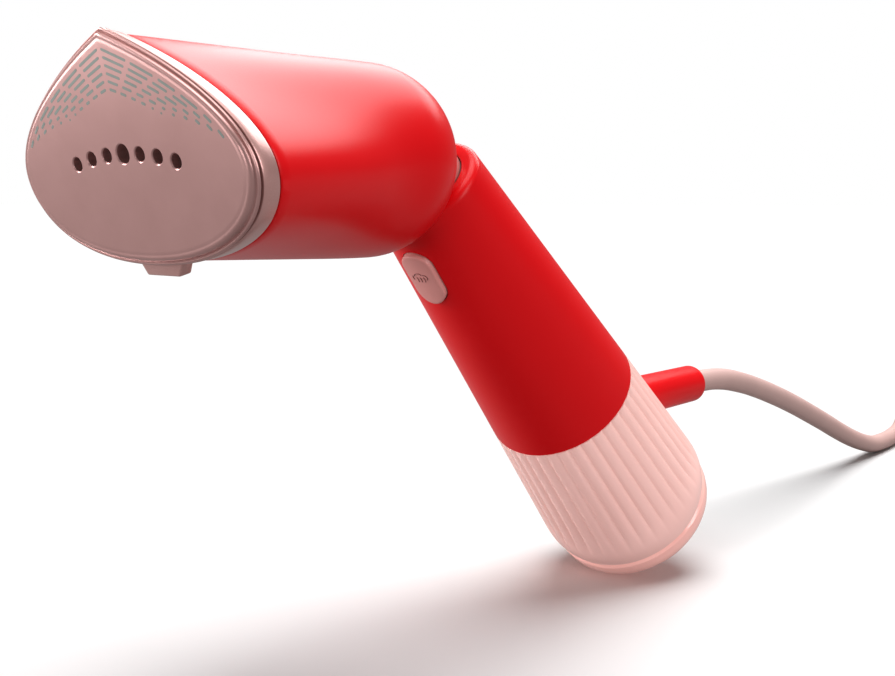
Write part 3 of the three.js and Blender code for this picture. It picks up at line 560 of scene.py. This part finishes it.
def makeCordGuard():
    radius, end = guard["radius"], guard["end"]
    line = filleted([(0, guard["start"], 0), (radius + 0.3, guard["start"], 0), (radius + 0.1, end - 25, 40),
                     (radius, end, guard["fillet"]), (guard["bore"], end, 0.4), (guard["bore"], end - 8, 0),
                     (0, end - 8, 0)], 8)
    bm = spun(divided(line, 2), 96)
    place = Matrix.Translation((0, 0, guard["height"])) @ Matrix.Rotation(-math.pi / 2, 4, "X")
    bmesh.ops.transform(bm, matrix=place, verts=bm.verts)
    low, high, sunk = -140, 10, guard["sunk"]
    core = spun([(0, low), (coneRadius(low) - sunk, low), (coneRadius(high) - sunk, high), (0, high)])
    bmesh.ops.transform(core, matrix=handleFrame, verts=core.verts)
    finishPiece("cordGuard", carved(bm, core), Matrix(), "mouldedAbsRed", "handle",
                ["cord_guard"])


makeCordGuard()

# The head: a guitar-pick outline at the plate, drawn back to a ball about the fold
plate = {"halfWidth": 42.3, "tip": 27.6, "foot": 26.3, "widest": -5, "bezel": 6, "proud": 1.6, "back": -3,
         "seat": 3.9, "sides": 160}


def bezierPoint(curve, t):
    a, b, c, d = (Vector(p) for p in curve)
    return a * (1 - t) ** 3 + b * 3 * t * (1 - t) ** 2 + c * 3 * t * t * (1 - t) + d * t ** 3


def plateOutline():
    wide, tip, foot, widest = plate["halfWidth"], plate["tip"], -plate["foot"], plate["widest"]
    left = [((0, tip), (-16, 0.78 * tip), (-wide, 8), (-wide, widest)),
            ((-wide, widest), (-wide, -16.5), (-0.64 * wide, foot), (0, foot))]
    fine = [bezierPoint(curve, k / 100) for curve in left for k in range(100)] + [Vector((0, foot))]
    fine += [Vector((-p.x, p.y)) for p in reversed(fine[:-1])]
    along = [0]
    for a, b in zip(fine, fine[1:]):
        along.append(along[-1] + (b - a).length)
    points, k = [], 0
    for side in range(plate["sides"]):
        want = along[-1] * side / plate["sides"]
        while along[k + 1] < want:
            k += 1
        points.append(fine[k].lerp(fine[k + 1], (want - along[k]) / (along[k + 1] - along[k])))
    return points


outline = plateOutline()


def plateRing(inset, height):
    # the outline drawn in, at one height in the plate's frame; behind the plate it sinks with the lean
    wide = 1 - inset / plate["halfWidth"]
    tall = 1 - 2 * inset / (plate["tip"] + plate["foot"])
    drop = height * math.tan(plateTilt)
    return [Vector((p.x * wide, p.y * tall + drop, height)) for p in outline]


head = {"radius": 26.4, "inset": 0.8, "wall": 2, "straight": 0.75, "rows": 20, "domeRows": 20,
        "slotReach": 41.65}


def headRings(inset, radius, front):
    # from the mouth back to the top of the dome
    mouth = [plateInHead @ p for p in plateRing(inset, front)]
    angles = [math.atan2(p.y, p.x) for p in outline]
    circle = [Vector((radius * math.cos(a), 0, radius * math.sin(a))) for a in angles]
    bend = head["straight"]
    rings = []
    for k in range(head["rows"]):
        t = k / head["rows"]
        keep = 1 - 2 * bend / (1 + bend) / bend * t if t < bend else (1 - t) ** 2 / (1 - bend ** 2)
        rings.append([Vector((c.x + (m.x - c.x) * keep, m.y * (1 - t), c.z + (m.z - c.z) * keep))
                      for m, c in zip(mouth, circle)])
    for k in range(head["domeRows"] + 1):
        a = math.pi / 2 * k / head["domeRows"]
        rings.append([Vector((c.x * math.cos(a), radius * math.sin(a), c.z * math.cos(a))) for c in circle])
    return rings


def makeHeadShell():
    front = -plate["bezel"] - gap
    wall, inset, radius = head["wall"], head["inset"], head["radius"]
    lip = [[plateInHead @ p for p in plateRing(inset + a, front - b)] for a, b in ((0.5, 0), (0.15, 0.15))]
    outer = lip + headRings(inset, radius, front - 0.5)
    inner = headRings(inset + wall, radius - wall, front)
    bm = ringed(list(reversed(outer)) + inner)
    # the slot that the knuckle's drum swings in
    reach = math.radians(head["slotReach"])
    half = knuckle["halfWidth"] + runningGap
    slot = bmesh.new()
    near, far = radius - 8, radius + 5
    corners = [slot.verts.new(Matrix.Rotation(-reach, 3, "X") @ Vector((x, y, 0)))
               for x, y in ((-half, near), (half, near), (half, far), (-half, far))]
    edges = [slot.edges.new((corners[k], corners[(k + 1) % 4])) for k in range(4)]
    bmesh.ops.spin(slot, geom=corners + edges, cent=(0, 0, 0), axis=(1, 0, 0), angle=2 * reach, steps=32)
    bmesh.ops.holes_fill(slot, edges=slot.edges)
    bmesh.ops.recalc_face_normals(slot, faces=slot.faces)
    finishPiece("headShell", carved(bm, slot), headFrame, "mouldedAbsRed", "head",
                ["head_shell"])


makeHeadShell()
print("head shell made")

steamHoles = {"radius": 1.7, "middle": 2.25, "pitch": 6.1, "height": -0.1, "drop": 0.225, "chamfer": 0.25}


def makeSteamPlate():
    proud = plate["proud"]
    # face, soft edge, groove and outer rim, then the back
    rows = [(3.3, proud), (2.9, proud - 0.02), (2.55, proud - 0.1), (2.3, proud - 0.12), (2.05, proud - 0.06),
            (1.75, proud - 0.08), (1.45, proud - 0.25), (1.2, proud - 0.55), (1.05, proud - 0.95), (0.98, 0.35),
            (0.85, 0.2), (0.7, 0.28), (0.55, 0.42), (0.35, 0.44), (0.15, 0.34), (0.03, 0.12), (0, -0.1),
            (0.15, -gap), (plate["seat"], -gap), (plate["seat"], plate["back"])]
    bm = ringed([plateRing(inset, height) for inset, height in rows])
    for number in range(-3, 4):
        radius = steamHoles["radius"] if number else steamHoles["middle"]
        edge = steamHoles["chamfer"]
        drill = spun([(0, -10), (radius, -10), (radius, proud - edge), (radius + edge + 0.4, proud + 0.4),
                      (0, proud + 0.4)], 40)
        height = steamHoles["height"] - steamHoles["drop"] * number ** 2
        bmesh.ops.translate(drill, vec=(steamHoles["pitch"] * number, height, 0), verts=drill.verts)
        bm = carved(bm, drill)
    finishPiece("steamPlate", bm, plateFrame, "coatedPlateRose", "head", ["steam_plate"], 30)


makeSteamPlate()

# Six rows of printed dashes that follow the two upper edges, shorter inwards and downwards
dashes = {"rows": 6, "inset": 4.2, "pitch": 1.72, "lengths": (8.5, 7.6, 5.6, 5.5, 2.7, 2.3), "shrink": 0.145,
          "gap": 1.4, "gapGrowth": 0.18, "start": 0.7, "halfWidth": 0.32, "thick": 0.03}


def makeDashes():
    bm = bmesh.new()
    level = plate["proud"]
    for row in range(dashes["rows"]):
        ring = plateRing(dashes["inset"] + dashes["pitch"] * row, 0)
        line = [Vector((p.x, p.y)) for p in ring[:plate["sides"] // 2]]
        along = [0]
        for a, b in zip(line, line[1:]):
            along.append(along[-1] + (b - a).length)

        def pointAt(distance):
            k = max(i for i, reached in enumerate(along) if reached <= distance)
            return line[k].lerp(line[k + 1], (distance - along[k]) / (along[k + 1] - along[k]))

        start = dashes["start"]
        for number, full in enumerate(dashes["lengths"]):
            length = full * (1 - dashes["shrink"] * row)
            ends = [pointAt(start), pointAt(start + length)]
            start += length + dashes["gap"] + dashes["gapGrowth"] * number
            direction = (ends[1] - ends[0]).normalized()
            side = Vector((-direction.y, direction.x)) * min(dashes["halfWidth"], length / 2.4)
            for mirror in (1, -1):
                corners = []
                for end, way in ((ends[0], -1), (ends[1], 1)):
                    middle = end - way * direction * side.length
                    for k in range(5):
                        angle = math.pi * k / 4
                        forward = direction * way * side.length * math.sin(angle)
                        corners.append(middle + side * -way * math.cos(angle) + forward)
                face = bm.faces.new([bm.verts.new((mirror * c.x, c.y, level)) for c in corners])
                made = bmesh.ops.extrude_face_region(bm, geom=[face])["geom"]
                moved = [item for item in made if isinstance(item, bmesh.types.BMVert)]
                bmesh.ops.translate(bm, vec=(0, 0, dashes["thick"]), verts=moved)
    bmesh.ops.recalc_face_normals(bm, faces=bm.faces)
    finishPiece("plateDashes", bm, plateFrame, "plateInk", "head")


makeDashes()

bezel = {"front": -0.9, "tabWide": 9.2, "tabNarrow": 5.9, "tabDrop": 3.3, "tabBack": -5.7, "tabFront": -2}


def makeBezel():
    front, back, seat = bezel["front"], -plate["bezel"], plate["seat"] - 0.5
    rows = [(0.35, front), (0.1, front - 0.12), (0, front - 0.4), (0.3, back / 2), (0.6, back + 0.35),
            (0.7, back + 0.1), (0.95, back), (seat, back), (seat, front)]
    ring = ringed([plateRing(inset, height) for inset, height in rows], joined=True)
    foot = -plate["foot"]
    tab = prism([(-bezel["tabWide"], foot + 2.2), (-bezel["tabNarrow"], foot - bezel["tabDrop"]),
                 (bezel["tabNarrow"], foot - bezel["tabDrop"]), (bezel["tabWide"], foot + 2.2)],
                bezel["tabBack"], bezel["tabFront"])
    swapped = Matrix(((1, 0, 0, 0), (0, 0, 1, 0), (0, 1, 0, 0), (0, 0, 0, 1)))
    bmesh.ops.transform(tab, matrix=swapped, verts=tab.verts)
    bmesh.ops.recalc_face_normals(tab, faces=tab.faces)
    bmesh.ops.bevel(tab, geom=list(tab.edges), offset=0.5, segments=3, profile=0.5, affect="EDGES",
                    material=-1)
    finishPiece("bezelRing", carved(ring, tab, operation="UNION"), plateFrame, "lacquerRose", "head",
                ["bezel_ring"])


makeBezel()
print("plate and bezel made")

# The cord: the stretch from the guard to the floor, four and a half wound turns, and the tail to the plug
cord = {"radius": 4.5, "floor": -106.3, "coilCentre": (34, 460), "coilRadius": 46, "turns": 4.5,
        "tailHump": 1.2, "plugPlace": (78, 318), "plugHigh": 7.4, "plugLength": 44}
thick = 2 * cord["radius"]
lying = cord["floor"] + cord["radius"]
upperTurns = lying + thick * math.sin(math.pi / 3)
plugMiddle = cord["floor"] + cord["plugHigh"]
leadRoute = [
    (0, guard["end"] - 7.7, guard["height"]), (0, 140, guard["height"]), (0, 156, -44.2), (0, 172, -47.2),
    (0, 190, -51.8), (0, 210, -57.8), (0, 230, -64.4), (0, 250, -71.6), (0, 270, -79), (0, 288, -85.9),
    (0, 306, -92.3), (0, 323, -97.4), (0, 338, -100.6), (-0.2, 352, lying + 0.25), (-0.9, 366, lying),
    (-2.8, 382, lying), (-6, 398, lying), (-10.2, 414, lying), (-14.8, 430, lying), (-18.8, 445, lying),
]
tailRoute = [
    (84.5, 450, upperTurns + 0.6), (84.3, 440, upperTurns + cord["tailHump"]), (83.9, 430, upperTurns + 0.4),
    (83.1, 418, upperTurns - 2.6), (81.8, 405, lying + 1.6), (80.3, 392, lying + 0.2), (79, 378, lying + 1.4),
    (78.2, 368, plugMiddle), (78, cord["plugPlace"][1] + cord["plugLength"] - 3, plugMiddle),
]


def turnRadius(turn):
    # three turns on the floor from the outside in, then two outwards in the hollows on top of them
    stops = [(0, 1), (0.8, 1), (0.95, 0), (1.8, 0), (1.95, -1), (2.6, -1), (2.8, -0.5), (3.45, -0.5),
             (3.7, 0.5), (9, 0.5)]
    for (a, ra), (b, rb) in zip(stops, stops[1:]):
        if turn <= b:
            share = max(0, (turn - a) / (b - a))
            return cord["coilRadius"] + thick * (ra + (rb - ra) * share * share * (3 - 2 * share))


def coilRoute(steps=30):
    count = int(cord["turns"] * steps)
    around = [turnRadius(k / steps) for k in range(count + 1)]
    heights = [lying] * (count + 1)
    for settle in range(14):
        # each turn lies on the turns under it, and rises to them in a ramp
        for k in range(count + 1):
            for lower in range(k - steps, -1, -steps):
                beside = abs(around[k] - around[lower])
                if beside < thick - 0.01:
                    heights[k] = max(heights[k], heights[lower] + math.sqrt(thick ** 2 - beside ** 2))
        for k in range(1, count):
            heights[k] = max(heights[k], (heights[k - 1] + heights[k + 1]) / 2)
    points = []
    for k, (radius, height) in enumerate(zip(around, heights)):
        angle = math.pi - 2 * math.pi * k / steps
        points.append((cord["coilCentre"][0] + radius * math.cos(angle),
                       cord["coilCentre"][1] + radius * math.sin(angle), height))
    return points


def makePlug():
    # a flat-sided grip with a ridged neck, round the cord's last stretch:
    # distance from its face, half width, half height
    stations = [(0, 13.2, 6.2), (0.6, 14.4, 7.0), (2, 15, 7.35), (12, 15, 7.4), (15, 14.2, 7.4),
                (20, 12.2, 7.2), (24, 11, 7.0)]
    for k in range(10):
        ridge = 0.6 * (k % 2)
        stations.append((25 + 1.5 * k, 10.4 - 0.42 * k - ridge, 6.9 - 0.1 * k - ridge))
    stations += [(41, 6.4, 5.6), (43.2, 6.1, 5.4), (43.7, 5.6, 5.0)]
    middle, face = cord["plugPlace"]
    rings = []
    for along, wide, tall in stations:
        ring = []
        for k in range(48):
            c, s = math.cos(math.pi * k / 24), math.sin(math.pi * k / 24)
            ring.append((middle + wide * math.copysign(abs(c) ** 0.55, c), face + along,
                         plugMiddle + tall * math.copysign(abs(s) ** 0.55, s)))
        rings.append(ring)
    return finishPiece("plugBody", ringed(rings), Matrix(), "cordPvc", "handle", ["plug_body"])


def makeTie():
    # a soft strap round the wound turns
    centre = Vector((*cord["coilCentre"], 0))
    low, high = cord["floor"] + 0.1, upperTurns + cord["radius"] + 0.9
    inner, outer = cord["coilRadius"] - 14.4, cord["coilRadius"] + 14.4
    line = filleted([(inner + 8, low, 0), (inner, low, 2.5), (inner, lying + 3, 4), (inner + 5, high, 4),
                     (outer - 5, high, 4), (outer, lying + 3, 4), (outer, low, 2.5), (inner + 8, low, 0)], 5)
    rings = []
    for across, out in ((-5, 0), (-5, 0.9), (5, 0.9), (5, 0)):
        middleOf = Vector((cord["coilRadius"], (low + high) / 2))
        ring = []
        for p in line[:-1]:
            grown = p - (p - middleOf).normalized() * (0.9 - out)
            ring.append((centre.x + across, centre.y + grown.x, max(grown.y, cord["floor"])))
        rings.append(ring)
    return finishPiece("cordTie", ringed(rings, joined=True), Matrix(), "blackMoulding", "handle")


def makeCord():
    points = leadRoute + coilRoute() + tailRoute
    data = bpy.data.curves.new("mainsCord", "CURVE")
    data.dimensions = "3D"
    data.bevel_depth = cord["radius"] * mm
    data.bevel_resolution = 6
    data.resolution_u = 4
    data.use_fill_caps = True
    spline = data.splines.new("BEZIER")
    spline.bezier_points.add(len(points) - 1)
    for made, point in zip(spline.bezier_points, points):
        made.co = Vector(point) * mm
        made.handle_left_type = made.handle_right_type = "AUTO"
    piece = bpy.data.objects.new("mainsCord", data)
    bpy.context.scene.collection.objects.link(piece)
    dressPiece(piece, "cordPvc", "handle", ["cord", "cord_coil", "cord_tail"])
    length = sum((Vector(b) - Vector(a)).length for a, b in zip(points, points[1:])) * mm
    print("cord length", round(length, 3))
    makePlug()
    makeTie()


makeCord()
print("cord made")

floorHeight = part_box("tank_end_cap")[0].z / mm - 0.05
studio = {
    # place, what it looks at, width and length in mm, watts
    "backPanel": ((-260, 620, 620), (0, -40, 30), 900, 460, 6.5),
    "leftPanel": ((-360, -330, 230), (0, -130, 50), 240, 380, 3.4),
    "rightPanel": ((760, 60, 330), (0, 20, -20), 300, 600, 3.8),
    "frontPanel": ((-60, -760, 40), (0, 0, -20), 700, 260, 2.3),
}
sky = {"fill": 0.16, "sun": 2.9, "sunSpread": 46, "floorLight": "#fcfcfc", "floorBounce": "#a0a0a0"}


def makeStudio():
    scene = bpy.context.scene
    scene.view_settings.view_transform = "Standard"
    world = bpy.data.worlds.new("studio")
    world.use_nodes = True
    tree = world.node_tree
    tree.nodes.clear()
    # plain white behind the object, and a weaker fill light from all round
    seen = addNode(tree, "ShaderNodeLightPath").outputs["Is Camera Ray"]
    strength = addNode(tree, "ShaderNodeMapRange", {"Value": seen, "To Min": sky["fill"], "To Max": 1.0})
    glow = addNode(tree, "ShaderNodeBackground", {
        "Color": (1, 1, 1, 1), "Strength": strength.outputs["Result"]})
    addNode(tree, "ShaderNodeOutputWorld", {"Surface": glow.outputs["Background"]})
    scene.world = world
    bm = bmesh.new()
    bmesh.ops.create_grid(bm, x_segments=1, y_segments=1, size=30000,
                          matrix=Matrix.Translation((0, 0, floorHeight)))
    bmesh.ops.transform(bm, matrix=intoMetres, verts=bm.verts)
    floor = looseObject(bm, "studioFloor")
    material = bpy.data.materials.new("paperSweep")
    material.use_nodes = True
    tree = material.node_tree
    tree.nodes.clear()
    # white to look at, and grey to the light that it throws back up at the object
    seen = addNode(tree, "ShaderNodeLightPath").outputs["Is Camera Ray"]
    paper = addNode(tree, "ShaderNodeMix", {
        0: seen, 6: linear(sky["floorBounce"]), 7: linear(sky["floorLight"])}, data_type="RGBA")
    matt = addNode(tree, "ShaderNodeBsdfDiffuse", {"Color": paper.outputs[2]})
    addNode(tree, "ShaderNodeOutputMaterial", {"Surface": matt.outputs["BSDF"]})
    floor.data.materials.append(material)
    # the panels light only the object, and the overhead light alone draws its shadow
    unlit = bpy.data.collections.new("unlitByPanels")
    unlit.objects.link(floor)
    unlit.collection_objects[0].light_linking.link_state = "EXCLUDE"
    sun = bpy.data.lights.new("overhead", "SUN")
    sun.energy = sky["sun"]
    sun.angle = math.radians(sky["sunSpread"])
    lamp = bpy.data.objects.new("overhead", sun)
    scene.collection.objects.link(lamp)
    for name, (place, target, wide, long, watts) in studio.items():
        data = bpy.data.lights.new(name, "AREA")
        data.shape = "RECTANGLE"
        data.size, data.size_y = wide * mm, long * mm
        data.energy = watts
        lamp = bpy.data.objects.new(name, data)
        lamp.location = Vector(place) * mm
        lamp.rotation_euler = (Vector(target) - Vector(place)).to_track_quat("-Z", "Y").to_euler()
        scene.collection.objects.link(lamp)
        lamp.light_linking.receiver_collection = unlit


makeStudio()
